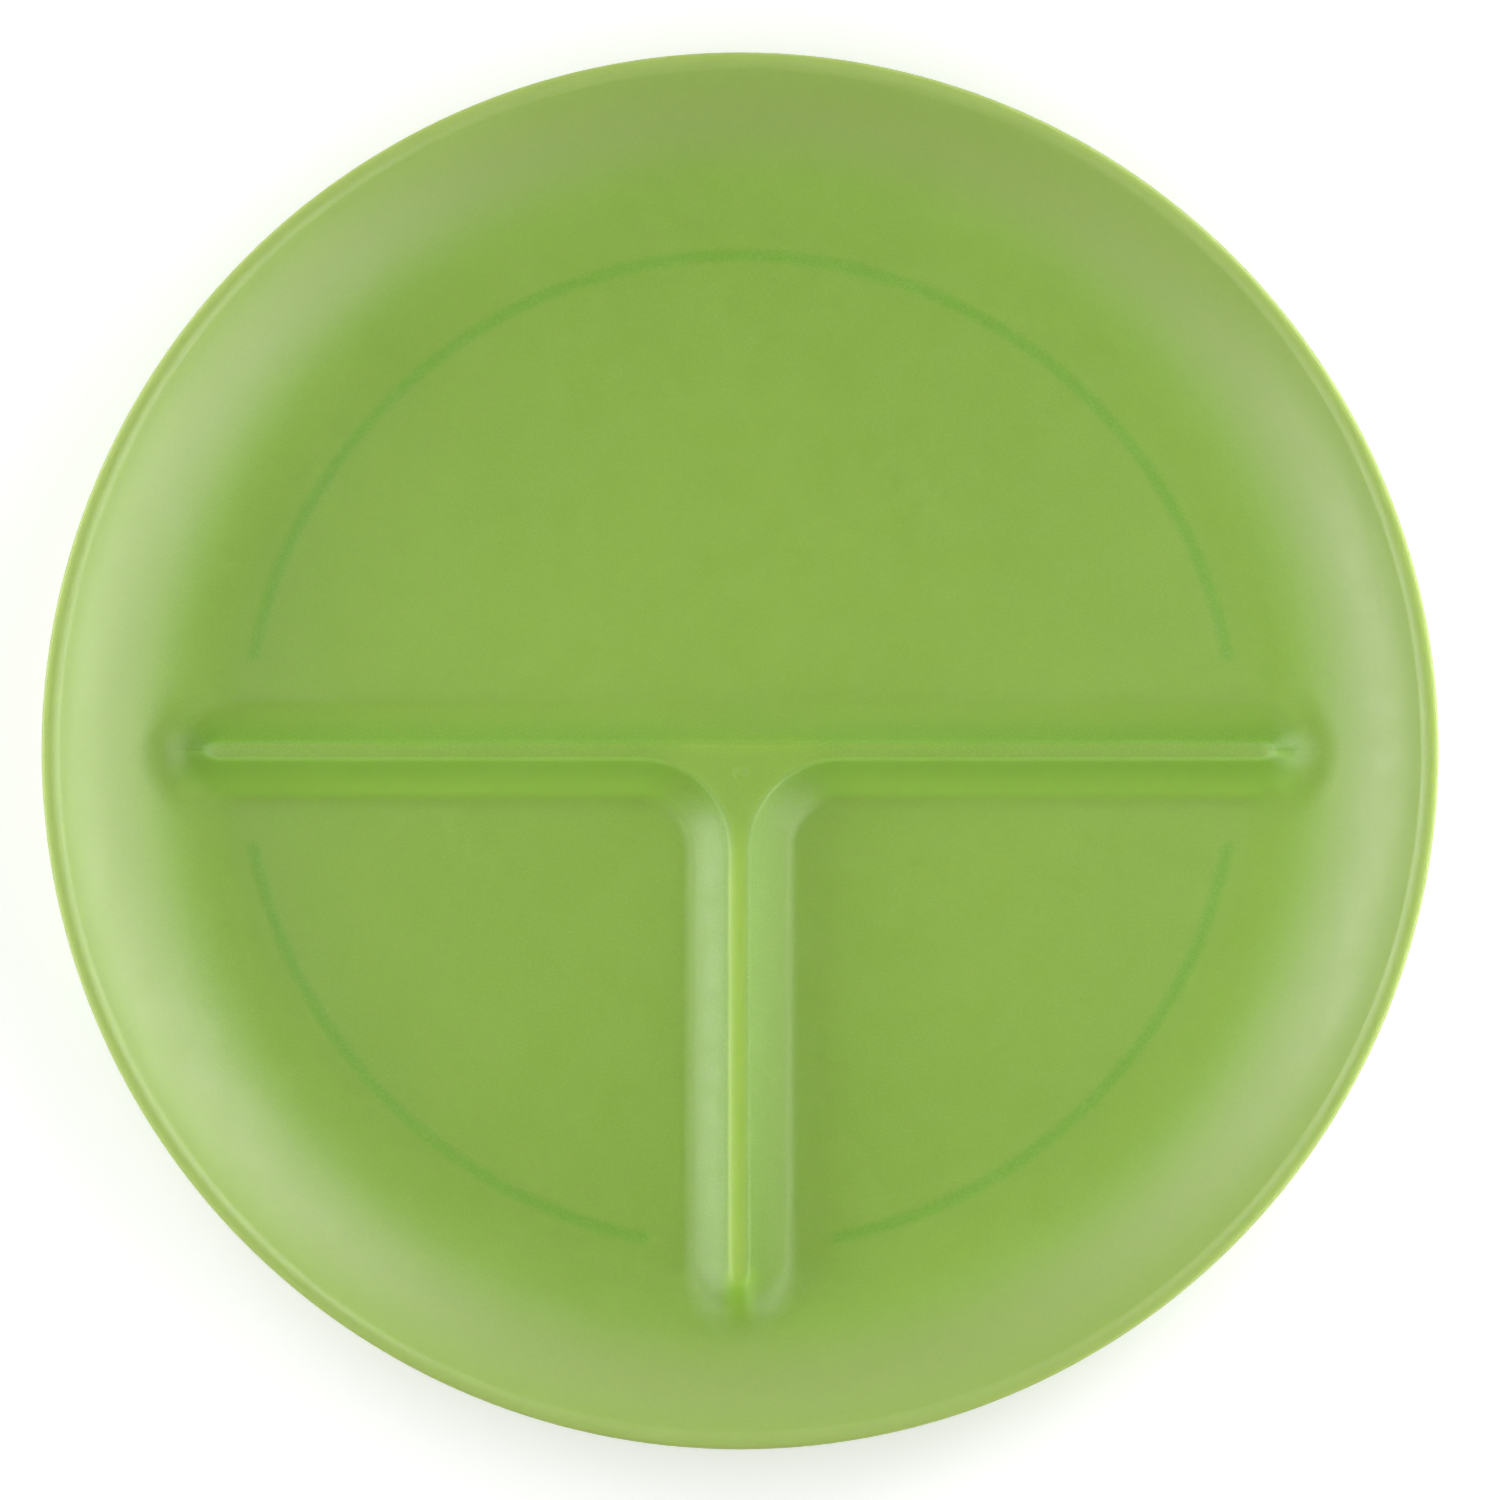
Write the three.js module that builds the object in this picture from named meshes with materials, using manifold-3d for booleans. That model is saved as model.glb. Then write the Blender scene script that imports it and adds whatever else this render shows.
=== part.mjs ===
// Round portion plate moulded in lime plastic: a shallow dish, a hollow T-shaped divider that
// parts it into one half and two quarters, and three curved feet under the edge of the floor.
// Units are millimetres and +Z is up. The origin is under the centre of the plate, on the
// surface that it stands on, and +Y points into the half compartment.

import * as THREE from 'three';
import { mergeVertices } from 'three/addons/utils/BufferGeometryUtils.js';
import Module from 'manifold-3d';

const wasm = await Module();
wasm.setup();

// Dish
const PLATE_DIAMETER = 250;
const PLATE_HEIGHT = 20.8;
const WALL_THICKNESS = 2.5; // floor, wall and divider alike
const WALL_CURVE_RADIUS = 40; // inner curve, from the level floor up to the rim
const RIM_EDGE_RADIUS = 0.7; // both edges of the level rim

// Divider, whose two arms and stem share one section
const DIVIDER_HEIGHT = 5.8; // above the floor
const DIVIDER_FOOT_HALF_WIDTH = 9.2;
const DIVIDER_TOP_HALF_WIDTH = 1.35; // level top, inside its rounded shoulders
const DIVIDER_SHOULDER_RADIUS = 1;
const DIVIDER_FLANK_ANGLE = 45; // degrees from level, just under the shoulder
const DIVIDER_OVERRUN = 2.6; // centre line past the edge of the floor
const CORNER_RADIUS = 8.8; // in plan, at the foot of the two inner corners
const CHANNEL_TIP_HALF_WIDTH = 0.4; // narrow top of the hollow inside

// Feet
const FOOT_HEIGHT = 2;
const FOOT_WIDTH = 1.8;
const FOOT_EDGE_RADIUS = 0.4;
const FOOT_INSET = 1.3; // centre line inside the edge of the floor
const FOOT_TO_DIVIDER = 7.3; // from a foot's tip to the foot of the divider

// Facets
const DISH_STEPS = 72;
const WALL_STEPS = 8;
const EDGE_STEPS = 3;
const FLANK_STEPS = 6;
const SHOULDER_STEPS = 3;
const END_STEPS = 12;
const CORNER_STEPS = 8;
const FOOT_STEP_ANGLE = 5; // degrees
const FOOT_TIP_STEPS = 6;

// Finish
const LIME = '#8cb14f';
const SATIN_ROUGHNESS = 0.45;

// Heights and radii that follow from the sizes above
const FLOOR_TOP = FOOT_HEIGHT + WALL_THICKNESS;
const OUTER_CURVE_RADIUS = WALL_CURVE_RADIUS + WALL_THICKNESS;
const MIDDLE_CURVE_RADIUS = WALL_CURVE_RADIUS + WALL_THICKNESS / 2;
const CURVE_CENTRE_Z = FLOOR_TOP + WALL_CURVE_RADIUS;
const EDGE_CENTRE_Z = PLATE_HEIGHT - RIM_EDGE_RADIUS;
const EDGE_DROP = CURVE_CENTRE_Z - EDGE_CENTRE_Z;
const INNER_EDGE_RUN = Math.sqrt((WALL_CURVE_RADIUS + RIM_EDGE_RADIUS) ** 2 - EDGE_DROP ** 2);
const OUTER_EDGE_RUN = Math.sqrt((OUTER_CURVE_RADIUS - RIM_EDGE_RADIUS) ** 2 - EDGE_DROP ** 2);
const FLOOR_RADIUS = PLATE_DIAMETER / 2 - RIM_EDGE_RADIUS - OUTER_EDGE_RUN;
const SPINE_END = FLOOR_RADIUS + DIVIDER_OVERRUN;
const CORNER_CENTRE = DIVIDER_FOOT_HALF_WIDTH + CORNER_RADIUS;
const FOOT_RADIUS = FLOOR_RADIUS - FOOT_INSET;

const DOWN = -Math.PI / 2;
const UP = Math.PI / 2;
const HALF_TURN = Math.PI;
const QUARTER_TURN = Math.PI / 2;

// Points along an arc about (x, y), both ends included.
function arc(x, y, radius, from, to, steps) {
  return Array.from({ length: steps + 1 }, (_, i) => {
    const angle = from + ((to - from) * i) / steps;
    return new THREE.Vector2(x + radius * Math.cos(angle), y + radius * Math.sin(angle));
  });
}

// A solid from a closed geometry, without the doubled points and empty faces of its seams.
function solid(geometry) {
  geometry.deleteAttribute('normal');
  geometry.deleteAttribute('uv');
  const merged = mergeVertices(geometry);
  const corners = merged.index.array;
  const faces = [];
  for (let i = 0; i < corners.length; i += 3) {
    const [a, b, c] = corners.slice(i, i + 3);
    if (a !== b && b !== c && c !== a) {
      faces.push(a, b, c);
    }
  }
  return new wasm.Manifold(new wasm.Mesh({
    numProp: 3,
    vertProperties: new Float32Array(merged.attributes.position.array),
    triVerts: new Uint32Array(faces),
  }));
}

// A geometry from a solid.
function surface(body) {
  const { vertProperties, triVerts } = body.getMesh();
  const geometry = new THREE.BufferGeometry();
  geometry.setAttribute('position', new THREE.BufferAttribute(vertProperties, 3));
  geometry.setIndex(new THREE.BufferAttribute(triVerts, 1));
  geometry.computeVertexNormals();
  return geometry;
}

// A body turned about +Z from a section of (radius, height) points that begins and ends on the axis.
function turned(section) {
  return new THREE.LatheGeometry(section, DISH_STEPS).rotateX(QUARTER_TURN);
}

// A closed body through level outlines of equal length, lowest first, each anticlockwise from above.
function loft(levels) {
  const count = levels[0].outline.length;
  const positions = levels.flatMap(({ outline, z }) => outline.flatMap(({ x, y }) => [x, y, z]));
  const faces = [];
  for (let level = 0; level < levels.length - 1; level += 1) {
    for (let i = 0; i < count; i += 1) {
      const a = level * count + i;
      const b = level * count + ((i + 1) % count);
      faces.push(a, b, b + count, a, b + count, a + count);
    }
  }
  const top = (levels.length - 1) * count;
  const bottomFaces = THREE.ShapeUtils.triangulateShape(levels[0].outline, []);
  const topFaces = THREE.ShapeUtils.triangulateShape(levels.at(-1).outline, []);
  bottomFaces.forEach(([a, b, c]) => faces.push(a, c, b));
  topFaces.forEach(([a, b, c]) => faces.push(top + a, top + b, top + c));
  const geometry = new THREE.BufferGeometry();
  geometry.setAttribute('position', new THREE.Float32BufferAttribute(positions, 3));
  geometry.setIndex(faces);
  geometry.computeVertexNormals();
  return geometry;
}

// The wall's curve at one depth of its thickness, from the floor to the level of the edge centres.
function wallCurve(radius, run) {
  return arc(FLOOR_RADIUS, CURVE_CENTRE_Z, radius, DOWN, Math.atan2(-EDGE_DROP, run), WALL_STEPS);
}

// Floor, curved wall and level rim, as one shell.
function dish() {
  const innerEdge = FLOOR_RADIUS + INNER_EDGE_RUN;
  const outerEdge = FLOOR_RADIUS + OUTER_EDGE_RUN;
  const innerTangent = Math.atan2(EDGE_DROP, -INNER_EDGE_RUN);
  const outerTangent = Math.atan2(-EDGE_DROP, OUTER_EDGE_RUN);
  return solid(turned([
    new THREE.Vector2(0, FOOT_HEIGHT),
    ...wallCurve(OUTER_CURVE_RADIUS, OUTER_EDGE_RUN),
    ...arc(outerEdge, EDGE_CENTRE_Z, RIM_EDGE_RADIUS, outerTangent, UP, EDGE_STEPS),
    ...arc(innerEdge, EDGE_CENTRE_Z, RIM_EDGE_RADIUS, UP, innerTangent, EDGE_STEPS),
    ...wallCurve(WALL_CURVE_RADIUS, INNER_EDGE_RUN).reverse(),
    new THREE.Vector2(0, FLOOR_TOP),
  ]));
}

// The space above the middle of the shell's thickness, which the divider is kept to.
function bowl() {
  const curve = wallCurve(MIDDLE_CURVE_RADIUS, INNER_EDGE_RUN);
  return solid(turned([
    new THREE.Vector2(0, FLOOR_TOP - WALL_THICKNESS / 2),
    ...curve,
    new THREE.Vector2(0, curve.at(-1).y),
  ]));
}

// The T in plan, at one distance from its centre lines.
function dividerOutline(halfWidth) {
  const cornerRadius = CORNER_CENTRE - halfWidth;
  const leftCorner = arc(-CORNER_CENTRE, -CORNER_CENTRE, cornerRadius, UP, 0, CORNER_STEPS);
  const rightCorner = arc(CORNER_CENTRE, -CORNER_CENTRE, cornerRadius, HALF_TURN, UP, CORNER_STEPS);
  return [
    ...arc(SPINE_END, 0, halfWidth, DOWN, UP, END_STEPS),
    ...arc(-SPINE_END, 0, halfWidth, UP, UP + HALF_TURN, END_STEPS),
    ...leftCorner,
    ...arc(0, -SPINE_END, halfWidth, HALF_TURN, 2 * HALF_TURN, END_STEPS),
    ...rightCorner,
  ];
}

// The divider's flank: a hollow curve from the floor up to the shoulder, where it is steepest.
// Each point has its half width, its height and the slope there.
function flank() {
  const steepest = THREE.MathUtils.degToRad(DIVIDER_FLANK_ANGLE);
  const shoulderRun = DIVIDER_SHOULDER_RADIUS * Math.sin(steepest);
  const shoulderRise = DIVIDER_SHOULDER_RADIUS * (1 - Math.cos(steepest));
  const run = DIVIDER_FOOT_HALF_WIDTH - DIVIDER_TOP_HALF_WIDTH - shoulderRun;
  const rise = DIVIDER_HEIGHT - shoulderRise;
  const gentlest = 2 * Math.atan2(rise, run) - steepest;
  const radius = run / (Math.sin(steepest) - Math.sin(gentlest));
  return Array.from({ length: FLANK_STEPS + 1 }, (_, i) => {
    const slope = gentlest + ((steepest - gentlest) * i) / FLANK_STEPS;
    return {
      halfWidth: DIVIDER_FOOT_HALF_WIDTH - radius * (Math.sin(slope) - Math.sin(gentlest)),
      z: FLOOR_TOP + radius * (Math.cos(gentlest) - Math.cos(slope)),
      slope,
    };
  });
}

// The rounded shoulder between the flank and the level top.
function shoulder() {
  const steepest = THREE.MathUtils.degToRad(DIVIDER_FLANK_ANGLE);
  const centreZ = FLOOR_TOP + DIVIDER_HEIGHT - DIVIDER_SHOULDER_RADIUS;
  const curve = arc(
    DIVIDER_TOP_HALF_WIDTH, centreZ, DIVIDER_SHOULDER_RADIUS, UP - steepest, UP, SHOULDER_STEPS,
  );
  return curve.slice(1).map(({ x, y }) => ({ halfWidth: x, z: y }));
}

// The divider's outside, down into the thickness of the dish.
function dividerBody() {
  const root = { halfWidth: DIVIDER_FOOT_HALF_WIDTH, z: FOOT_HEIGHT };
  const levels = [root, ...flank(), ...shoulder()];
  return solid(loft(levels.map(({ halfWidth, z }) => ({ outline: dividerOutline(halfWidth), z }))));
}

// The hollow under the divider, one wall thickness inside its flanks and open below.
function dividerChannel() {
  const sides = flank().map(({ halfWidth, z, slope }) => ({
    halfWidth: Math.max(halfWidth - WALL_THICKNESS * Math.sin(slope), CHANNEL_TIP_HALF_WIDTH),
    z: z - WALL_THICKNESS * Math.cos(slope),
  }));
  const mouth = { halfWidth: sides[0].halfWidth, z: 0 };
  const levels = [mouth, ...sides];
  return solid(loft(levels.map(({ halfWidth, z }) => ({ outline: dividerOutline(halfWidth), z }))));
}

// One foot in plan: a curved strip with round tips, between two angles of its centre line.
function footOutline(halfWidth, from, to) {
  const steps = Math.ceil(THREE.MathUtils.radToDeg(to - from) / FOOT_STEP_ANGLE);
  const tip = (angle, start) => arc(
    FOOT_RADIUS * Math.cos(angle), FOOT_RADIUS * Math.sin(angle), halfWidth, start, start + HALF_TURN,
    FOOT_TIP_STEPS,
  );
  return [
    ...arc(0, 0, FOOT_RADIUS + halfWidth, from, to, steps),
    ...tip(to, to).slice(1, -1),
    ...arc(0, 0, FOOT_RADIUS - halfWidth, to, from, steps),
    ...tip(from, from + HALF_TURN).slice(1, -1),
  ];
}

// One foot between two arms of the divider, whose directions are given, flat against the floor.
function foot(name, fromArm, toArm) {
  const halfWidth = FOOT_WIDTH / 2;
  const tipDistance = DIVIDER_FOOT_HALF_WIDTH + FOOT_TO_DIVIDER;
  const setback = Math.asin(tipDistance / FOOT_RADIUS) + halfWidth / FOOT_RADIUS;
  const edge = arc(
    halfWidth - FOOT_EDGE_RADIUS, FOOT_EDGE_RADIUS, FOOT_EDGE_RADIUS, DOWN, 0, EDGE_STEPS,
  );
  const profile = [...edge, new THREE.Vector2(halfWidth, FOOT_HEIGHT)];
  const geometry = loft(profile.map(({ x, y }) => ({
    outline: footOutline(x, fromArm + setback, toArm - setback),
    z: y,
  })));
  return part(name, geometry);
}

function part(name, geometry) {
  const material = new THREE.MeshStandardMaterial({
    color: LIME,
    roughness: SATIN_ROUGHNESS,
    metalness: 0,
  });
  const mesh = new THREE.Mesh(geometry, material);
  mesh.name = name;
  return mesh;
}

const divider = dividerBody().intersect(bowl());
const moulding = dish().add(divider).subtract(dividerChannel());

const portionPlate = new THREE.Group();
portionPlate.add(part('plate', surface(moulding)));
portionPlate.add(foot('foot_rear', 0, HALF_TURN));
portionPlate.add(foot('foot_left', HALF_TURN, HALF_TURN + QUARTER_TURN));
portionPlate.add(foot('foot_right', HALF_TURN + QUARTER_TURN, 2 * HALF_TURN));

export default portionPlate;
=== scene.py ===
"""Looks of a round portion plate: a smooth moulding in translucent lime plastic on a white table."""

import math

import bpy
import numpy as np
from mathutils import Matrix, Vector
from mathutils.geometry import delaunay_2d_cdt


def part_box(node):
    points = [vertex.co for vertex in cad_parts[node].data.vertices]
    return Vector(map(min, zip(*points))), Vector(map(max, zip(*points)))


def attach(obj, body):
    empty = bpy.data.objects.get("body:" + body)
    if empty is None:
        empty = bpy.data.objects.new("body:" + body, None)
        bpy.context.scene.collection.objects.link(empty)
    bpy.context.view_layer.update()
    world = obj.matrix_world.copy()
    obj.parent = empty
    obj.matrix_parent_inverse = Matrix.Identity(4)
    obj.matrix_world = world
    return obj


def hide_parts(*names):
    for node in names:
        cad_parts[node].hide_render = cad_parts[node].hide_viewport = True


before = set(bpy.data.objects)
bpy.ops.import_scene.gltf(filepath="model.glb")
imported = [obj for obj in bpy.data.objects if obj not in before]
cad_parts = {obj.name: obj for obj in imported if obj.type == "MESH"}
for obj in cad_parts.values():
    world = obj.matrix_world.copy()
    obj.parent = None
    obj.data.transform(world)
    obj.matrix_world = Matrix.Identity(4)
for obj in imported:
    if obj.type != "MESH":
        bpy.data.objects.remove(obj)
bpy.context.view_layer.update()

MM = 0.001
BOX_CLEARANCE = 0.01 * MM

# Sizes that the frame gives, in metres
PLATE_LOW, PLATE_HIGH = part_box("plate")
FOOT_HEIGHT = PLATE_LOW[2]
PLATE_HEIGHT = PLATE_HIGH[2]
PLATE_RADIUS = PLATE_HIGH[0] - BOX_CLEARANCE

# Dish, as in the solids
WALL_THICKNESS = 2.5 * MM
WALL_CURVE_RADIUS = 40 * MM
RIM_EDGE_RADIUS = 0.7 * MM

# Divider, as in the solids
DIVIDER_HEIGHT = 5.8 * MM
DIVIDER_FOOT_HALF_WIDTH = 9.2 * MM
DIVIDER_TOP_HALF_WIDTH = 1.35 * MM
DIVIDER_SHOULDER_RADIUS = 1 * MM
DIVIDER_FLANK_ANGLE = math.radians(45)
DIVIDER_OVERRUN = 2.6 * MM
CORNER_RADIUS = 8.8 * MM
CHANNEL_TIP_HALF_WIDTH = 0.4 * MM

# Feet, as in the solids
FOOT_WIDTH = 1.8 * MM
FOOT_EDGE_RADIUS = 0.4 * MM
FOOT_INSET = 1.3 * MM
FOOT_TO_DIVIDER = 7.3 * MM

# Forms that differ a little from the solids
RIM_ROLL_RADIUS = 3.2 * MM  # inner edge of the rim
DIVIDER_CROWN = 0.18 * MM  # fall of the top from its middle to its edges
NOSE_STRETCH = 1.75  # factor by which the divider's ends are drawn out
FILLET = 0.7 * MM  # difference in height over which two surfaces blend
NOSE_FILLET = 3.0 * MM  # added to it at the divider's ends
NOSE_FILLET_RUN = 8 * MM
FOOT_BITE = 0.2 * MM  # how far a foot reaches into the floor above it

# Marks of the moulding
GROOVE_DEPTH = 0.05 * MM
GROOVE_HALF_WIDTH = 2.0 * MM
GATE_PLACE = (0, -3.9 * MM)
GATE_RADIUS = 1 * MM
GATE_DEPTH = 0.1 * MM
GATE_SOFTNESS = 0.25 * MM

# Fineness of the meshes
RIM_STEPS = 240
WALL_STEPS = 14
ROLL_STEPS = 9
EDGE_STEPS = 8
SHOULDER_STEPS = 4
FLANK_STEPS = 7
NOSE_STEPS = 20
CORNER_STEPS = 12
GATE_STEPS = 20
LEAST_RING_STEPS = 12
FOOT_TIP_STEPS = 8
FOOT_EDGE_STEPS = 5
FOOT_STEP_ANGLE = math.radians(2)
FOOT_SHARP_ANGLE = math.radians(40)
PLAN_STEP = 3 * MM
FLOOR_RING_STEP = 6 * MM
FLOOR_RING_END = 4 * MM
DIVIDER_CLEARANCE = 2 * MM
GATE_CLEARANCE = 2 * MM
DISC_MARGIN = 2 * MM
DISC_CLEARANCE = 0.5 * MM
MERGE_DISTANCE = 0.01 * MM
LEAST_GAP = 0.001 * MM
SLOPE_STEP = 0.02 * MM

# Where the rings of points lie: on the divider, over the feet, up the wall and round the gate
TOP_WIDTHS = np.array([0.45, 0.9]) * MM
FLANK_END_OFFSET = -1.8 * MM
DIVIDER_FOOT_OFFSETS = np.array([-1.35, -0.9, -0.45, 0, 0.45, 0.9, 1.35, 1.9]) * MM
GROOVE_OFFSETS = np.array([-2, -1.3, -0.9, -0.45, 0, 0.45, 0.9, 1.3, 2.2]) * MM
WALL_OFFSETS = np.array([4, 6, 8.5, 11, 14, 17, 20]) * MM
GATE_RINGS = np.array([0.3, 0.6, 0.8, 1.0, 1.2, 1.4, 1.8]) * MM

# Sizes that follow
FULL_TURN = 2 * math.pi
HALF_TURN = math.pi
QUARTER_TURN = math.pi / 2
FLOOR_TOP = FOOT_HEIGHT + WALL_THICKNESS
CREST = FLOOR_TOP + DIVIDER_HEIGHT
CURVE_CENTRE_Z = FLOOR_TOP + WALL_CURVE_RADIUS
OUTER_CURVE_RADIUS = WALL_CURVE_RADIUS + WALL_THICKNESS
EDGE_CENTRE_Z = PLATE_HEIGHT - RIM_EDGE_RADIUS
EDGE_DROP = CURVE_CENTRE_Z - EDGE_CENTRE_Z
EDGE_RUN = math.sqrt((OUTER_CURVE_RADIUS - RIM_EDGE_RADIUS) ** 2 - EDGE_DROP ** 2)
ROLL_CENTRE_Z = PLATE_HEIGHT - RIM_ROLL_RADIUS
ROLL_DROP = CURVE_CENTRE_Z - ROLL_CENTRE_Z
ROLL_RUN = math.sqrt((WALL_CURVE_RADIUS + RIM_ROLL_RADIUS) ** 2 - ROLL_DROP ** 2)
FLOOR_RADIUS = PLATE_RADIUS - RIM_EDGE_RADIUS - EDGE_RUN
SPINE_END = FLOOR_RADIUS + DIVIDER_OVERRUN
CORNER_CENTRE = DIVIDER_FOOT_HALF_WIDTH + CORNER_RADIUS
FOOT_RADIUS = FLOOR_RADIUS - FOOT_INSET
FOOT_TIP_DISTANCE = DIVIDER_FOOT_HALF_WIDTH + FOOT_TO_DIVIDER
FOOT_LINE_START = FOOT_TIP_DISTANCE + FOOT_WIDTH / 2
DISC_RADIUS = SPINE_END + NOSE_STRETCH * DIVIDER_FOOT_HALF_WIDTH + DISC_MARGIN

# The shoulder carries the slope of the crowned top on to the slope of the flank
CROWN_EDGE_ANGLE = math.atan2(2 * DIVIDER_CROWN, DIVIDER_TOP_HALF_WIDTH)
SHOULDER_RUN = DIVIDER_SHOULDER_RADIUS * math.sin(DIVIDER_FLANK_ANGLE)
SHOULDER_CURVE = SHOULDER_RUN / (math.sin(DIVIDER_FLANK_ANGLE) - math.sin(CROWN_EDGE_ANGLE))
SHOULDER_DROP = SHOULDER_CURVE * (math.cos(CROWN_EDGE_ANGLE) - math.cos(DIVIDER_FLANK_ANGLE))
SHOULDER_END = DIVIDER_TOP_HALF_WIDTH + SHOULDER_RUN

# The flank is an arc about a centre beside and above the divider
FLANK_RUN = DIVIDER_FOOT_HALF_WIDTH - SHOULDER_END
FLANK_RISE = DIVIDER_HEIGHT - DIVIDER_CROWN - SHOULDER_DROP
FLANK_FOOT_ANGLE = 2 * math.atan2(FLANK_RISE, FLANK_RUN) - DIVIDER_FLANK_ANGLE
FLANK_RADIUS = FLANK_RUN / (math.sin(DIVIDER_FLANK_ANGLE) - math.sin(FLANK_FOOT_ANGLE))
FLANK_CENTRE_WIDTH = DIVIDER_FOOT_HALF_WIDTH + FLANK_RADIUS * math.sin(FLANK_FOOT_ANGLE)
FLANK_CENTRE_Z = FLOOR_TOP + FLANK_RADIUS * math.cos(FLANK_FOOT_ANGLE)


def smooth_max(a, b, blend):
    """The larger of two heights, with a small fillet where they cross."""
    near = np.maximum(blend - np.abs(a - b), 0) / blend
    return np.maximum(a, b) + near ** 2 * blend / 4


def wall_height(radius, curve_radius):
    """Height of the dish at one depth of its thickness."""
    run = np.maximum(radius - FLOOR_RADIUS, 0)
    return CURVE_CENTRE_Z - np.sqrt(curve_radius ** 2 - run ** 2)


def divider_distance(x, y):
    """Distance from the T's centre lines, with its two inner corners rounded in plan."""
    across = np.hypot(np.maximum(np.abs(x) - SPINE_END, 0) / NOSE_STRETCH, y)
    along = np.hypot(x, np.maximum(-y - SPINE_END, 0) / NOSE_STRETCH)
    plain = np.minimum(across, np.where(y < 0, along, across))
    corner = CORNER_CENTRE - np.hypot(np.abs(x) - CORNER_CENTRE, y + CORNER_CENTRE)
    inside = (np.abs(x) < CORNER_CENTRE) & (y < 0) & (y > -CORNER_CENTRE)
    return np.where(inside, corner, plain)


def divider_height(width):
    """Height of the divider's outside at a distance from its centre lines."""
    level = np.clip(width, 0, DIVIDER_TOP_HALF_WIDTH) / DIVIDER_TOP_HALF_WIDTH
    top = CREST - DIVIDER_CROWN * level ** 2
    run = np.clip(width - DIVIDER_TOP_HALF_WIDTH, 0, SHOULDER_RUN)
    turn = run + SHOULDER_CURVE * math.sin(CROWN_EDGE_ANGLE)
    shoulder = SHOULDER_CURVE * math.cos(CROWN_EDGE_ANGLE) - np.sqrt(SHOULDER_CURVE ** 2 - turn ** 2)
    beside = np.clip(FLANK_CENTRE_WIDTH - width, 0, FLANK_CENTRE_WIDTH - SHOULDER_END)
    flank = FLANK_CENTRE_Z - np.sqrt(FLANK_RADIUS ** 2 - beside ** 2)
    return np.where(width < SHOULDER_END, top - shoulder, flank)


def channel_height(width):
    """Height of the hollow's roof under the divider."""
    beside = np.clip(FLANK_CENTRE_WIDTH - np.maximum(width, CHANNEL_TIP_HALF_WIDTH), 0, None)
    return FLANK_CENTRE_Z - np.sqrt((FLANK_RADIUS + WALL_THICKNESS) ** 2 - beside ** 2)


def foot_distance(x, y):
    """Distance from the centre lines of the three feet."""
    radius = np.hypot(x, y)
    beyond_arm = np.maximum(FOOT_LINE_START - np.abs(y), 0)
    beyond_stem = np.where(y < 0, np.maximum(FOOT_LINE_START - np.abs(x), 0), 0)
    return np.hypot(radius - FOOT_RADIUS, np.maximum(beyond_arm, beyond_stem))


def groove(x, y):
    """Depth of the shallow sink marks over the feet."""
    nearness = np.clip(1 - foot_distance(x, y) / GROOVE_HALF_WIDTH, 0, 1)
    return GROOVE_DEPTH * nearness ** 2 * (3 - 2 * nearness)


def gate_mark(x, y):
    """Depth of the ring that the moulding's gate left."""
    radius = np.hypot(x - GATE_PLACE[0], y - GATE_PLACE[1])
    return GATE_DEPTH * np.exp(-((radius - GATE_RADIUS) / GATE_SOFTNESS) ** 2)


def top_height(x, y):
    radius = np.hypot(x, y)
    dish = wall_height(radius, WALL_CURVE_RADIUS)
    divider = divider_height(divider_distance(x, y))
    at_nose = np.clip((radius - SPINE_END) / NOSE_FILLET_RUN, 0, 1)
    return smooth_max(dish, divider, FILLET + NOSE_FILLET * at_nose) - groove(x, y) - gate_mark(x, y)


def under_height(x, y):
    dish = wall_height(np.hypot(x, y), OUTER_CURVE_RADIUS)
    return smooth_max(dish, channel_height(divider_distance(x, y)), FILLET)


def arc(x, y, radius, start, end, steps):
    angles = np.linspace(start, end, steps + 1)
    return np.stack([x + radius * np.cos(angles), y + radius * np.sin(angles)], axis=1)


def circle(x, y, radius, steps):
    return arc(x, y, radius, 0, FULL_TURN, steps)[:-1]


def line(start, end):
    count = max(int(np.ceil(np.hypot(*(np.subtract(end, start))) / PLAN_STEP)), 1)
    return np.linspace(start, end, count + 1)


def nose(end, ahead, width):
    """Points round one end of the divider, drawn out along its line."""
    angles = np.linspace(-QUARTER_TURN, QUARTER_TURN, NOSE_STEPS + 1)
    forward = NOSE_STRETCH * width * np.cos(angles)
    sideways = width * np.sin(angles)
    return np.stack([
        end[0] + forward * ahead[0] - sideways * ahead[1],
        end[1] + forward * ahead[1] + sideways * ahead[0],
    ], axis=1)


def divider_ring(width):
    """Points on the T's outline at one distance from its centre lines."""
    centre = CORNER_CENTRE
    end = SPINE_END
    return np.concatenate([
        nose((end, 0), (1, 0), width),
        line((end, width), (-end, width)),
        nose((-end, 0), (-1, 0), width),
        line((-end, -width), (-centre, -width)),
        arc(-centre, -centre, centre - width, QUARTER_TURN, 0, CORNER_STEPS),
        line((-width, -centre), (-width, -end)),
        nose((0, -end), (0, -1), width),
        line((width, -end), (width, -centre)),
        arc(centre, -centre, centre - width, HALF_TURN, QUARTER_TURN, CORNER_STEPS),
        line((centre, -width), (end, -width)),
    ])


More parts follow.
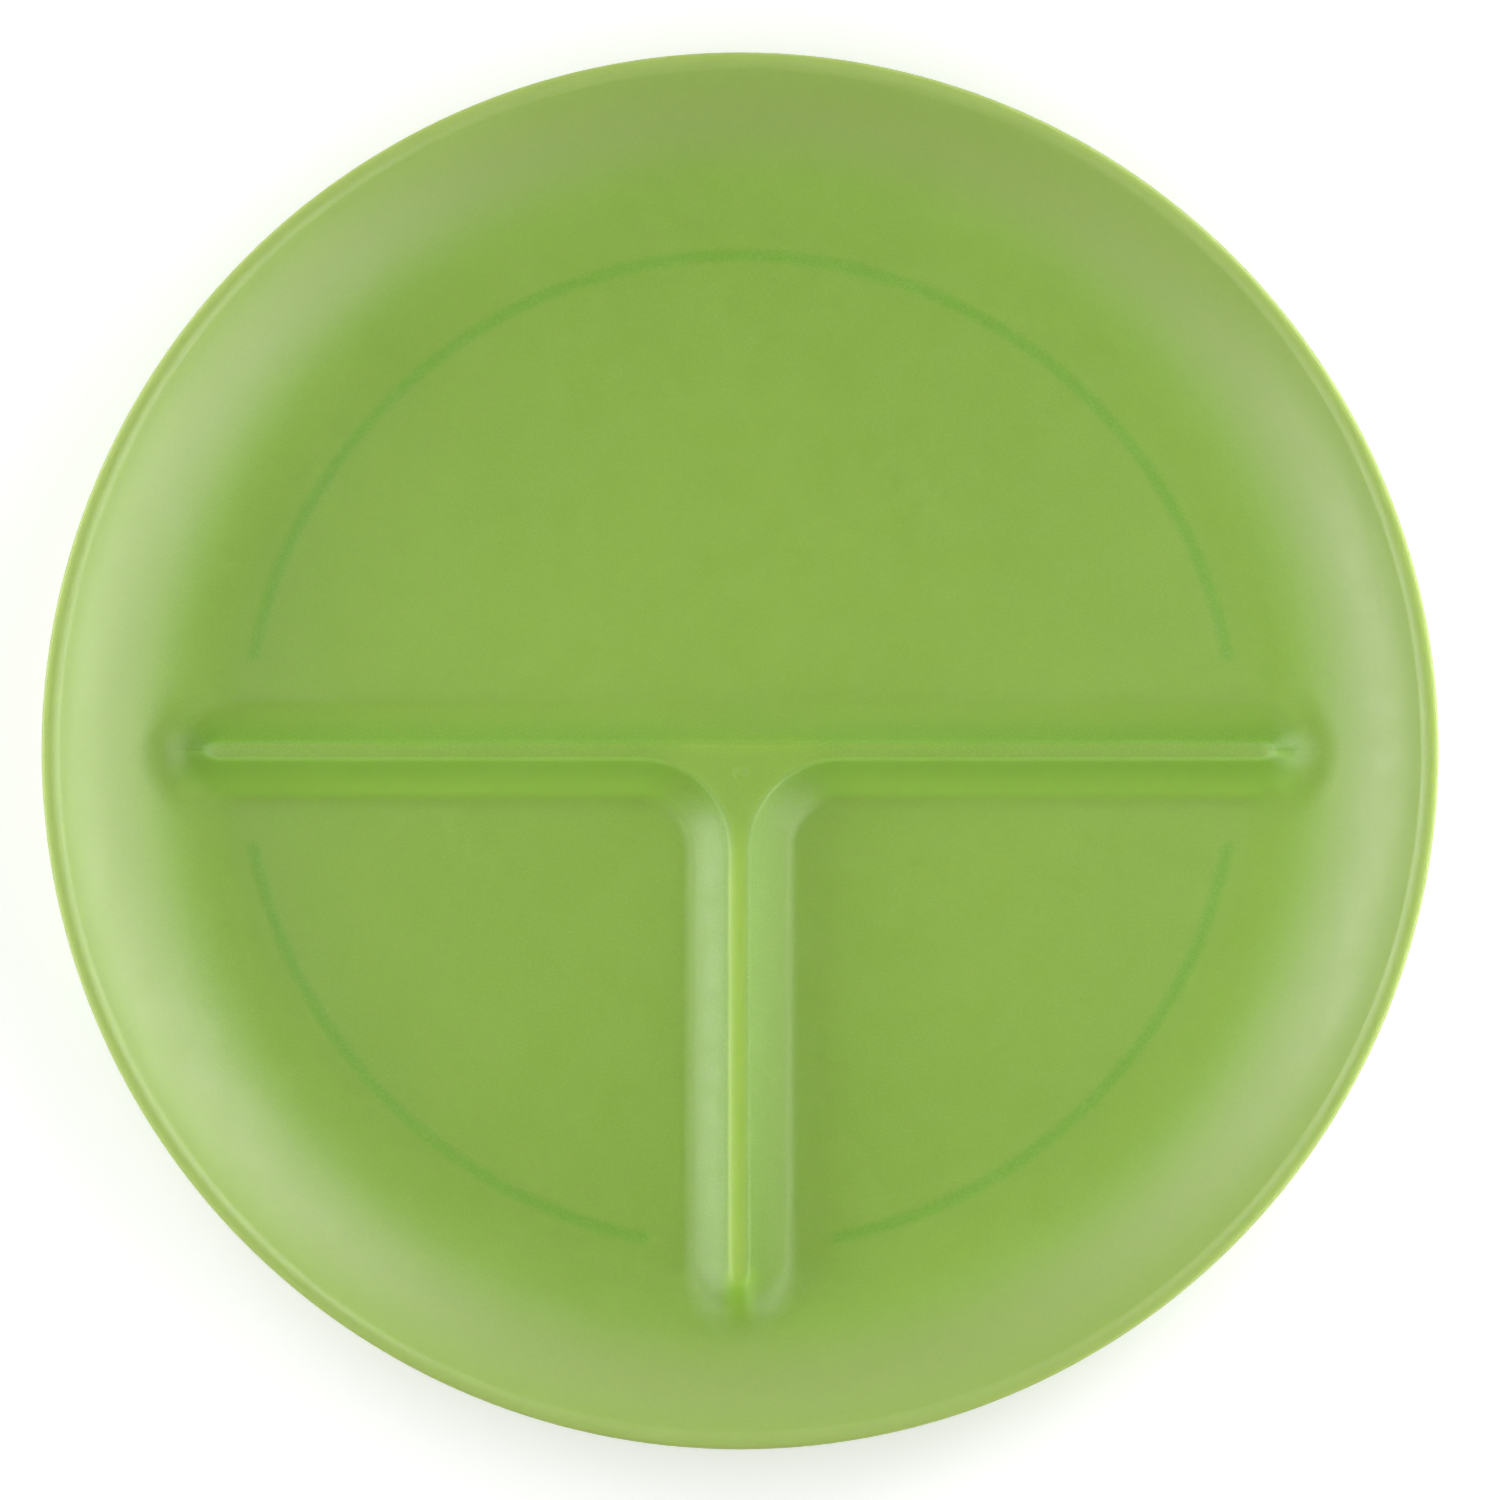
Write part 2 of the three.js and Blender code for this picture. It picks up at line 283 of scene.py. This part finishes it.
def disc_points():
    """Plan points for the floor, the divider and the foot of the wall, densest where they curve."""
    flank_end = DIVIDER_FOOT_HALF_WIDTH + FLANK_END_OFFSET
    widths = np.concatenate([
        TOP_WIDTHS,
        DIVIDER_TOP_HALF_WIDTH + SHOULDER_RUN * np.linspace(0, 1, SHOULDER_STEPS + 1),
        np.linspace(SHOULDER_END, flank_end, FLANK_STEPS + 1)[1:],
        DIVIDER_FOOT_HALF_WIDTH + DIVIDER_FOOT_OFFSETS,
    ])
    rings = [divider_ring(width) for width in widths]
    radii = np.concatenate([
        np.arange(FLOOR_RING_STEP, FOOT_RADIUS - FLOOR_RING_END, FLOOR_RING_STEP),
        FOOT_RADIUS + GROOVE_OFFSETS,
        FOOT_RADIUS + WALL_OFFSETS,
    ])
    for radius in radii:
        steps = int(np.clip(round(FULL_TURN * radius / PLAN_STEP), LEAST_RING_STEPS, RIM_STEPS))
        ring = circle(0, 0, radius, steps)
        clear = divider_distance(ring[:, 0], ring[:, 1]) > DIVIDER_FOOT_HALF_WIDTH + DIVIDER_CLEARANCE
        rings.append(ring[clear])
    gate = [circle(*GATE_PLACE, radius, GATE_STEPS) for radius in GATE_RINGS]
    inside = np.concatenate(rings)
    away = np.hypot(inside[:, 0] - GATE_PLACE[0], inside[:, 1] - GATE_PLACE[1]) > GATE_CLEARANCE
    near = np.hypot(inside[:, 0], inside[:, 1]) < DISC_RADIUS - DISC_CLEARANCE
    rim = circle(0, 0, DISC_RADIUS, RIM_STEPS)
    return np.concatenate([rim, inside[away & near], *gate])


def disc_mesh():
    """Points and triangles over the plan, with each point's number in the list that it came from."""
    points = disc_points()
    result = delaunay_2d_cdt([Vector(p) for p in points], [], [], 0, MERGE_DISTANCE, True)
    plan = np.array([tuple(v) for v in result[0]])
    triangles = np.array([tuple(f) for f in result[2]])
    origin = [ids[0] if ids else -1 for ids in result[3]]
    return plan, triangles, origin


def field_normals(height, plan, sign):
    """Normals of a height over the plan points, up or down."""
    x, y = plan[:, 0], plan[:, 1]
    slope_x = (height(x + SLOPE_STEP, y) - height(x - SLOPE_STEP, y)) / (2 * SLOPE_STEP)
    slope_y = (height(x, y + SLOPE_STEP) - height(x, y - SLOPE_STEP)) / (2 * SLOPE_STEP)
    normals = np.stack([-slope_x, -slope_y, np.ones_like(x)], axis=1) * sign
    return normals / np.linalg.norm(normals, axis=1, keepdims=True)


def rim_profile():
    """Rows of radius, height and normal: up the inner wall, over the rim and down the outer wall."""
    inner_start = -math.acos((DISC_RADIUS - FLOOR_RADIUS) / WALL_CURVE_RADIUS)
    inner_end = math.atan2(-ROLL_DROP, ROLL_RUN)
    roll_start = math.atan2(ROLL_DROP, -ROLL_RUN)
    outer_start = math.atan2(-EDGE_DROP, EDGE_RUN)
    outer_end = -math.acos((DISC_RADIUS - FLOOR_RADIUS) / OUTER_CURVE_RADIUS)
    roll_x = FLOOR_RADIUS + ROLL_RUN
    edge_x = FLOOR_RADIUS + EDGE_RUN
    stretches = [
        (FLOOR_RADIUS, CURVE_CENTRE_Z, WALL_CURVE_RADIUS, inner_start, inner_end, WALL_STEPS, -1),
        (roll_x, ROLL_CENTRE_Z, RIM_ROLL_RADIUS, roll_start, QUARTER_TURN, ROLL_STEPS, 1),
        (edge_x, EDGE_CENTRE_Z, RIM_EDGE_RADIUS, QUARTER_TURN, outer_start, EDGE_STEPS, 1),
        (FLOOR_RADIUS, CURVE_CENTRE_Z, OUTER_CURVE_RADIUS, outer_start, outer_end, WALL_STEPS, 1),
    ]
    rows = []
    for x, z, radius, start, end, steps, sign in stretches:
        for angle in np.linspace(start, end, steps + 1):
            across, up = math.cos(angle), math.sin(angle)
            row = (x + radius * across, z + radius * up, sign * across, sign * up)
            if not rows or math.dist(row[:2], rows[-1][:2]) > LEAST_GAP:
                rows.append(row)
    return np.array(rows)


def plate_mesh():
    """The dish with its hollow divider: a top and an under sheet, joined by rings round the rim."""
    plan, triangles, origin = disc_mesh()
    count = len(plan)
    place = {source: i for i, source in enumerate(origin)}
    ring = [place[i] for i in range(RIM_STEPS)]
    top = np.column_stack([plan, top_height(plan[:, 0], plan[:, 1])])
    under = np.column_stack([plan, under_height(plan[:, 0], plan[:, 1])])
    profile = rim_profile()[1:-1]
    spread = circle(0, 0, 1, RIM_STEPS)
    wall = [np.column_stack([spread * r, np.full(RIM_STEPS, z)]) for r, z, _, _ in profile]
    wall_normals = [np.column_stack([spread * nr, np.full(RIM_STEPS, nz)]) for _, _, nr, nz in profile]
    vertices = np.concatenate([top, under, *wall])
    normals = np.concatenate([
        field_normals(top_height, plan, 1), field_normals(under_height, plan, -1), *wall_normals,
    ])
    loops = [ring] + [
        [2 * count + k * RIM_STEPS + i for i in range(RIM_STEPS)] for k in range(len(profile))
    ] + [[count + i for i in ring]]
    faces = [tuple(t) for t in triangles]
    faces += [tuple(count + i for i in reversed(t)) for t in triangles]
    for inner, outer in zip(loops, loops[1:]):
        for i in range(RIM_STEPS):
            j = (i + 1) % RIM_STEPS
            faces.append((inner[i], outer[i], outer[j], inner[j]))
    mesh = bpy.data.meshes.new("plate_skin")
    mesh.from_pydata(vertices.tolist(), [], faces)
    mesh.shade_smooth()
    mesh.normals_split_custom_set_from_vertices(normals.tolist())
    return mesh


def foot_outline(half_width, start, end):
    """Plan points around one foot: two arcs about the plate's centre, joined by round tips."""
    sweep_steps = int(round((end - start) / FOOT_STEP_ANGLE))
    tip_start = FOOT_RADIUS * np.array([math.cos(start), math.sin(start)])
    tip_end = FOOT_RADIUS * np.array([math.cos(end), math.sin(end)])
    return np.concatenate([
        arc(0, 0, FOOT_RADIUS + half_width, start, end, sweep_steps)[:-1],
        arc(*tip_end, half_width, end, end + HALF_TURN, FOOT_TIP_STEPS)[:-1],
        arc(0, 0, FOOT_RADIUS - half_width, end, start, sweep_steps)[:-1],
        arc(*tip_start, half_width, start + HALF_TURN, start + FULL_TURN, FOOT_TIP_STEPS)[:-1],
    ])


def foot_mesh(name, start, end):
    """A curved ridge with rounded lower edges, let a little into the floor above."""
    setback = math.asin(FOOT_TIP_DISTANCE / FOOT_RADIUS) + FOOT_WIDTH / 2 / FOOT_RADIUS
    start += setback
    end -= setback
    edge = FOOT_EDGE_RADIUS
    levels = [(FOOT_WIDTH / 2, FOOT_HEIGHT + FOOT_BITE)]
    for angle in np.linspace(0, QUARTER_TURN, FOOT_EDGE_STEPS + 1):
        levels.append((FOOT_WIDTH / 2 - edge + edge * math.cos(angle), edge - edge * math.sin(angle)))
    rings = [foot_outline(width, start, end) for width, _ in levels]
    count = len(rings[0])
    vertices = np.concatenate([
        np.column_stack([ring, np.full(count, z)]) for ring, (_, z) in zip(rings, levels)
    ])
    faces = [tuple(range(count))]
    for k in range(len(levels) - 1):
        for i in range(count):
            j = (i + 1) % count
            upper, lower = k * count, (k + 1) * count
            faces.append((upper + j, upper + i, lower + i, lower + j))
    last = (len(levels) - 1) * count
    faces.append(tuple(last + i for i in reversed(range(count))))
    mesh = bpy.data.meshes.new(name)
    mesh.from_pydata(vertices.tolist(), [], faces)
    mesh.shade_smooth()
    mesh.set_sharp_from_angle(angle=FOOT_SHARP_ANGLE)
    return mesh


class Nodes:
    """Short ways to add and link the nodes of one material."""

    def __init__(self, material):
        material.use_nodes = True
        self.tree = material.node_tree
        self.shader = self.tree.nodes["Principled BSDF"]

    def add(self, kind, **settings):
        node = self.tree.nodes.new(kind)
        for key, value in settings.items():
            setattr(node, key, value)
        return node

    def feed(self, socket, value):
        if isinstance(value, bpy.types.NodeSocket):
            self.tree.links.new(value, socket)
        else:
            socket.default_value = value

    def math(self, operation, *values):
        node = self.add("ShaderNodeMath", operation=operation)
        for socket, value in zip(node.inputs, values):
            self.feed(socket, value)
        return node.outputs[0]

    def product(self, first, *others):
        for other in others:
            first = self.math("MULTIPLY", first, other)
        return first

    def length(self, a, b):
        squares = self.math("ADD", self.product(a, a), self.product(b, b))
        return self.math("SQRT", squares)

    def ramp(self, value, low, high, to_low=0.0, to_high=1.0):
        node = self.add("ShaderNodeMapRange", interpolation_type="SMOOTHSTEP")
        for socket, given in zip(node.inputs, (value, low, high, to_low, to_high)):
            self.feed(socket, given)
        return node.outputs[0]

    def fade(self, value, low, high):
        return self.ramp(value, low, high, 1.0, 0.0)

    def noise(self, place, scale, detail):
        node = self.add("ShaderNodeTexNoise")
        self.feed(node.inputs["Vector"], place)
        node.inputs["Scale"].default_value = scale
        node.inputs["Detail"].default_value = detail
        return node.outputs["Fac"]

    def blend(self, factor, first, second):
        node = self.add("ShaderNodeMix", data_type="RGBA")
        self.feed(node.inputs[0], factor)
        self.feed(node.inputs[6], first)
        self.feed(node.inputs[7], second)
        return node.outputs[2]


# Colours of the plastic, some with painted light and shade in them
LIME_COLOUR = (0.276, 0.470, 0.0395, 1)
LIME_PALE = (0.289, 0.484, 0.0435, 1)
LIME_DEEP = (0.214, 0.460, 0.0225, 1)
LIME_STEM_FOOT = (0.270, 0.462, 0.049, 1)
LIME_STEM_SHOULDER = (0.242, 0.441, 0.038, 1)
# Painted glow along the stem's top
LIME_STEM_TOP_PAINTED_GLOW = (0.380, 0.575, 0.066, 1)
# Painted light on the stem's tip
LIME_STEM_TIP_PAINTED_LIGHT = (0.340, 0.600, 0.058, 1)
# Painted light and shade: flanks facing the front lighter, flanks facing the rear darker
LIME_FRONT_FOOT_PAINTED_LIGHT = (0.335, 0.590, 0.064, 1)
LIME_FRONT_SHOULDER_PAINTED_LIGHT = (0.275, 0.512, 0.056, 1)
LIME_REAR_FOOT_PAINTED_SHADE = (0.278, 0.478, 0.050, 1)
LIME_REAR_SHOULDER_PAINTED_SHADE = (0.218, 0.436, 0.034, 1)
# Painted shade on the arms' tops
LIME_ARM_TOP_PAINTED_SHADE = (0.248, 0.430, 0.038, 1)
# Painted sheen up the wall
LIME_WALL_PAINTED_SHEEN = (0.330, 0.456, 0.112, 1)
LIME_GRAIN = (0.350, 0.530, 0.100, 1)
SPECK_COLOUR = (0.10, 0.16, 0.03, 1)

# Where each tint and each painted light or shade begins and ends, in metres
SINK_WIDTH = (0.3 * MM, 1.9 * MM)
FLOOR_END = (SPINE_END, SPINE_END + 4 * MM)
NOSE_END = (SPINE_END + 4 * MM, SPINE_END + 11 * MM)
NOSE_WIDTH = (DIVIDER_FOOT_HALF_WIDTH - 4 * MM, DIVIDER_FOOT_HALF_WIDTH)
FLANK_START = (FLOOR_TOP + 0.02 * MM, FLOOR_TOP + 1.2 * MM)
FLANK_CLIMB = (FLOOR_TOP + 1 * MM, CREST - 0.8 * MM)
TOP_START = (CREST - 0.9 * DIVIDER_CROWN, CREST - 0.5 * DIVIDER_CROWN)
ARM_START = (CORNER_CENTRE - 10 * MM, CORNER_CENTRE)
STEM_START = (-8 * MM, -26 * MM)
STEM_LEFT = (-2.5 * MM, -1.7 * MM)
STEM_RIGHT = (-0.2 * MM, 1.4 * MM)
STEM_TIP_START = (2 * MM - SPINE_END, -3 * MM - SPINE_END)
STEM_TIP_WIDTH = (1 * MM, 4 * MM)
WALL_CLIMB = (FLOOR_RADIUS + 10 * MM, PLATE_RADIUS - 10 * MM)

# Textures: scale and detail of each noise, and the values between which it works
DRIFT_NOISE = (28, 3)
DRIFT_SPAN = (0.3, 0.7)
GRAIN_NOISE = (2600, 2)
GRAIN_SPAN = (0.4, 0.75)
GRAIN_STRENGTH = 0.4
SATIN_NOISE = (160, 4)
SATIN_SPAN = (0.25, 0.75)
SATIN_ROUGHNESS = (0.41, 0.48)
SPECK_SCALE = 42
SPECK_SIZE = (0.004, 0.009)  # in widths of a cell
SPECK_RARITY = 0.965
SPECK_STRENGTH = 0.7

# Surface, and how far red, green and blue light spread under it
BUMP_STRENGTH = 0.2
BUMP_DEPTH = 0.05 * MM
GLOW_REACH = (5, 4.5, 3)
GLOW_SCALE = 1 * MM
REFRACTION = 1.5
SPECULAR_LEVEL = 1


def lime_plastic():
    """Translucent satin plastic with soft tints, painted light and shade on the divider and the wall,
    greener sink marks, fine grain and a few specks.
    """
    material = bpy.data.materials.new("lime_plastic")
    nodes = Nodes(material)
    place = nodes.add("ShaderNodeTexCoord").outputs["Object"]
    parts = nodes.add("ShaderNodeSeparateXYZ")
    nodes.feed(parts.inputs[0], place)
    x, y, z = parts.outputs
    off_stem_line = nodes.math("ABSOLUTE", x)
    off_arm_line = nodes.math("ABSOLUTE", y)
    radius = nodes.length(x, y)
    in_front = nodes.math("LESS_THAN", y, 0.0)
    behind = nodes.math("SUBTRACT", 1.0, in_front)

    # Slow drift between two shades
    drift = nodes.ramp(nodes.noise(place, *DRIFT_NOISE), *DRIFT_SPAN)
    colour = nodes.blend(drift, LIME_COLOUR, LIME_PALE)

    # Greener over the feet
    off_ring = nodes.math("SUBTRACT", radius, FOOT_RADIUS)
    past_arm = nodes.math("MAXIMUM", nodes.math("SUBTRACT", FOOT_LINE_START, off_arm_line), 0.0)
    past_stem = nodes.math("MAXIMUM", nodes.math("SUBTRACT", FOOT_LINE_START, off_stem_line), 0.0)
    past_tip = nodes.math("MAXIMUM", past_arm, nodes.product(past_stem, in_front))
    sink = nodes.fade(nodes.length(off_ring, past_tip), *SINK_WIDTH)
    colour = nodes.blend(sink, colour, LIME_DEEP)

    # The divider's flanks, out to its ends: paler at the foot, greener under the shoulder, with
    # painted light and shade: the flanks that face the front painted lighter, those that face the rear
    # darker
    on_floor = nodes.fade(radius, *FLOOR_END)
    off_lines = nodes.math("MINIMUM", off_arm_line, nodes.math("ADD", off_stem_line, behind))
    on_nose = nodes.product(nodes.fade(radius, *NOSE_END), nodes.fade(off_lines, *NOSE_WIDTH))
    on_divider = nodes.math("MAXIMUM", on_floor, on_nose)
    rise = nodes.ramp(z, *FLANK_START)
    under_top = nodes.fade(z, *TOP_START)
    flank = nodes.product(rise, under_top, on_divider)
    climb = nodes.ramp(z, *FLANK_CLIMB)
    on_arms = nodes.ramp(off_stem_line, *ARM_START)
    stem_colour = nodes.blend(climb, LIME_STEM_FOOT, LIME_STEM_SHOULDER)
    front_painted_light = nodes.blend(climb, LIME_FRONT_FOOT_PAINTED_LIGHT, LIME_FRONT_SHOULDER_PAINTED_LIGHT)
    rear_painted_shade = nodes.blend(climb, LIME_REAR_FOOT_PAINTED_SHADE, LIME_REAR_SHOULDER_PAINTED_SHADE)
    arm_painted_light_and_shade = nodes.blend(in_front, rear_painted_shade, front_painted_light)
    flank_tint_and_painted_light = nodes.blend(on_arms, stem_colour, arm_painted_light_and_shade)
    # Painted light: the stem's tip, which faces the front, is painted paler
    painted_light_tip = nodes.product(nodes.ramp(y, *STEM_TIP_START), nodes.fade(off_stem_line, *STEM_TIP_WIDTH))
    flank_tint_and_painted_light = nodes.blend(painted_light_tip, flank_tint_and_painted_light, LIME_STEM_TIP_PAINTED_LIGHT)
    colour = nodes.blend(flank, colour, flank_tint_and_painted_light)

    # The divider's top, with painted light and shade: a painted glow makes it paler along the stem,
    # painted shade darker along the arms
    painted_shade_top = nodes.product(nodes.ramp(z, *TOP_START), on_floor)
    colour = nodes.blend(nodes.product(painted_shade_top, on_arms), colour, LIME_ARM_TOP_PAINTED_SHADE)
    painted_glow_on_stem = nodes.product(nodes.ramp(x, *STEM_LEFT), nodes.fade(x, *STEM_RIGHT), on_floor)
    down_stem = nodes.ramp(y, *STEM_START)
    colour = nodes.blend(nodes.product(painted_glow_on_stem, down_stem), colour, LIME_STEM_TOP_PAINTED_GLOW)

    # Painted sheen: the wall is painted paler towards the rim
    painted_sheen_up_wall = nodes.ramp(radius, *WALL_CLIMB)
    colour = nodes.blend(painted_sheen_up_wall, colour, LIME_WALL_PAINTED_SHEEN)

    # Fine paler grain all over
    grain = nodes.noise(place, *GRAIN_NOISE)
    colour = nodes.blend(nodes.ramp(grain, *GRAIN_SPAN, 0.0, GRAIN_STRENGTH), colour, LIME_GRAIN)

    # A few dark specks in the plastic
    cells = nodes.add("ShaderNodeTexVoronoi", feature="F1")
    nodes.feed(cells.inputs["Vector"], place)
    cells.inputs["Scale"].default_value = SPECK_SCALE
    dot = nodes.fade(cells.outputs["Distance"], *SPECK_SIZE)
    chance = nodes.add("ShaderNodeSeparateColor")
    nodes.feed(chance.inputs[0], cells.outputs["Color"])
    rare = nodes.math("GREATER_THAN", chance.outputs[0], SPECK_RARITY)
    colour = nodes.blend(nodes.product(dot, rare, SPECK_STRENGTH), colour, SPECK_COLOUR)
    nodes.feed(nodes.shader.inputs["Base Color"], colour)

    # Satin surface, with the grain as a slight bump
    satin = nodes.noise(place, *SATIN_NOISE)
    roughness = nodes.ramp(satin, *SATIN_SPAN, *SATIN_ROUGHNESS)
    nodes.feed(nodes.shader.inputs["Roughness"], roughness)
    bump = nodes.add("ShaderNodeBump")
    bump.inputs["Strength"].default_value = BUMP_STRENGTH
    bump.inputs["Distance"].default_value = BUMP_DEPTH
    nodes.feed(bump.inputs["Height"], grain)
    nodes.feed(nodes.shader.inputs["Normal"], bump.outputs["Normal"])
    nodes.shader.inputs["Subsurface Weight"].default_value = 1
    nodes.shader.inputs["Subsurface Radius"].default_value = GLOW_REACH
    nodes.shader.inputs["Subsurface Scale"].default_value = GLOW_SCALE
    nodes.shader.inputs["IOR"].default_value = REFRACTION
    nodes.shader.inputs["Specular IOR Level"].default_value = SPECULAR_LEVEL
    return material


def add(name, mesh, material):
    piece = bpy.data.objects.new(name, mesh)
    bpy.context.collection.objects.link(piece)
    mesh.materials.append(material)
    return piece


LIME = lime_plastic()
plate = add("plate_skin", plate_mesh(), LIME)
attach(plate, "root")
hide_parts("plate")

# The feet, each with the angles of the compartment that it lies under
FEET = (
    ("foot_rear", 0, math.pi),
    ("foot_left", math.pi, 1.5 * math.pi),
    ("foot_right", 1.5 * math.pi, 2 * math.pi),
)
for node, start, end in FEET:
    foot = add(node + "_skin", foot_mesh(node + "_skin", start, end), LIME)
    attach(foot, "root")
    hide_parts(node)

# Table
WHITE = (1, 1, 1, 1)
TABLE_GREY = (0.7, 0.7, 0.7, 1)
TABLE_GLOW = 0.25
TABLE_ROUGHNESS = 0.9
TABLE_HALF = 8.0
TABLE_TOP = -0.02 * MM


def white_table():
    """White where it is seen, and a little greyer as a source of bounced light."""
    material = bpy.data.materials.new("white_table")
    nodes = Nodes(material)
    path = nodes.add("ShaderNodeLightPath").outputs
    reflected = nodes.math("MAXIMUM", path["Is Glossy Ray"], path["Is Transmission Ray"])
    seen = nodes.math("MAXIMUM", path["Is Camera Ray"], reflected)
    nodes.feed(nodes.shader.inputs["Base Color"], nodes.blend(seen, TABLE_GREY, WHITE))
    nodes.shader.inputs["Emission Color"].default_value = WHITE
    nodes.feed(nodes.shader.inputs["Emission Strength"], nodes.product(seen, TABLE_GLOW))
    nodes.shader.inputs["Roughness"].default_value = TABLE_ROUGHNESS
    nodes.shader.inputs["Specular IOR Level"].default_value = 0
    return material


table_mesh = bpy.data.meshes.new("table")
table_corners = [
    (x * TABLE_HALF, y * TABLE_HALF, TABLE_TOP) for x, y in ((-1, -1), (1, -1), (1, 1), (-1, 1))
]
table_mesh.from_pydata(table_corners, [], [(0, 1, 2, 3)])
table = add("table", table_mesh, white_table())

# Light, from softboxes at two distances in metres
WORLD_STRENGTH = 0.14
FAR = 1.2
NEAR = 0.34
world = bpy.data.worlds.new("studio")
bpy.context.scene.world = world
world.use_nodes = True
background = world.node_tree.nodes["Background"]
background.inputs["Color"].default_value = WHITE
background.inputs["Strength"].default_value = WORLD_STRENGTH


def softbox(name, azimuth, elevation, distance, wide, tall, radiance):
    """A square-edged soft light that faces the plate, given by the angles in degrees that it fills."""
    light = bpy.data.lights.new(name, "AREA")
    light.shape = "RECTANGLE"
    light.size = 2 * distance * math.tan(math.radians(wide / 2))
    light.size_y = 2 * distance * math.tan(math.radians(tall / 2))
    light.energy = radiance * math.pi * light.size * light.size_y
    lamp = bpy.data.objects.new(name, light)
    bpy.context.collection.objects.link(lamp)
    a, e = math.radians(azimuth), math.radians(elevation)
    place = Vector((math.cos(a) * math.cos(e), math.sin(a) * math.cos(e), math.sin(e))) * distance
    lamp.location = place
    lamp.rotation_euler = place.to_track_quat("Z", "Y").to_euler()
    lamp.visible_camera = False


softbox("left_low_softbox", 180, 16, FAR, 60, 14, 7.0)
softbox("left_near_softbox", 180, 55, NEAR, 60, 24, 1.9)
softbox("left_rear_softbox", 140, 28, FAR, 30, 40, 0.9)
softbox("right_low_softbox", 0, 6, FAR, 60, 8, 10.0)
softbox("right_middle_softbox", 0, 18, FAR, 60, 14, 0.5)
softbox("right_near_softbox", 0, 50, NEAR, 60, 26, 2.15)
softbox("right_front_softbox", 320, 25, FAR, 30, 44, 1.75)
softbox("right_rear_softbox", 40, 25, FAR, 30, 44, 2.6)
softbox("rear_softbox", 90, 8, FAR, 60, 10, 1.2)

# Camera straight above, in the photograph's frame
PHOTO_SIZE = 1500
PLATE_CENTRE_PIXEL = (740.1, 750.9)
PLATE_RADIUS_PIXELS = 698.8
CAMERA_HEIGHT = 4.0
SENSOR_WIDTH = 36
camera_data = bpy.data.cameras.new("camera")
camera = bpy.data.objects.new("camera", camera_data)
bpy.context.collection.objects.link(camera)
camera.location = (0, 0, PLATE_HEIGHT + CAMERA_HEIGHT)
frame_width = PHOTO_SIZE * PLATE_RADIUS / PLATE_RADIUS_PIXELS
camera_data.sensor_width = SENSOR_WIDTH
camera_data.lens = SENSOR_WIDTH * CAMERA_HEIGHT / frame_width
camera_data.shift_x = (PHOTO_SIZE / 2 - PLATE_CENTRE_PIXEL[0]) / PHOTO_SIZE
camera_data.shift_y = (PLATE_CENTRE_PIXEL[1] - PHOTO_SIZE / 2) / PHOTO_SIZE
bpy.context.scene.camera = camera
bpy.context.scene.view_settings.view_transform = "Standard"
